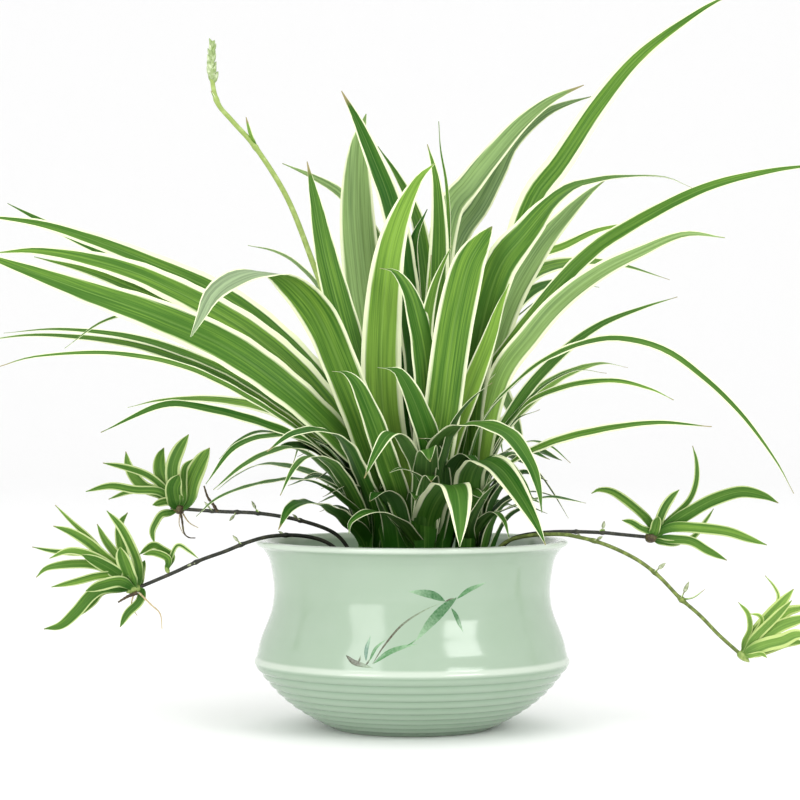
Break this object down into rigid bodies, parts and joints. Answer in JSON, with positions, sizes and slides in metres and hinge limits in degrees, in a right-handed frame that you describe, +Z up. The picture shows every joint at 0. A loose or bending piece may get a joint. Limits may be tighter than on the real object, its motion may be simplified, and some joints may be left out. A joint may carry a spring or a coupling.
{
  "type": "potted spider plant",
  "caption": "Spider plant with arching, cream-edged strap leaves, a flower stalk and trailing runners with plantlets, in a round celadon pot with a ribbed base.",
  "frame": {"origin": "centre of the pot's flat foot, on the surface that the pot stands on", "axes": "+Z up; -Y is the front, the side with the low drooping leaves; +X is to the right as seen from the front, along the plant's long spread"},
  "size_m": [0.4504, 0.3477, 0.3874],
  "materials": {
    "glaze": "celadon glaze, glossy",
    "soil": "crumbly, matt",
    "leaf": "satin, cream margins",
    "young_leaf": "satin, pale",
    "dark_stem": "satin, near black",
    "green_stem": "satin, olive"
  },
  "bodies": {
    "root": {"pot": "glaze", "soil": "soil", "rosette_left": "leaf", "rosette_front": "leaf", "rosette_right": "leaf", "rosette_back": "leaf", "flower_stalk": "young_leaf", "runner_left_upper": "dark_stem", "runner_left_lower": "dark_stem", "runner_right_upper": "dark_stem", "runner_right_lower": "green_stem", "plantlet_left_upper": "leaf", "plantlet_left_lower": "leaf", "plantlet_left_small": "leaf", "plantlet_right_upper": "leaf", "plantlet_right_lower": "young_leaf"}
  },
  "joints": []
}
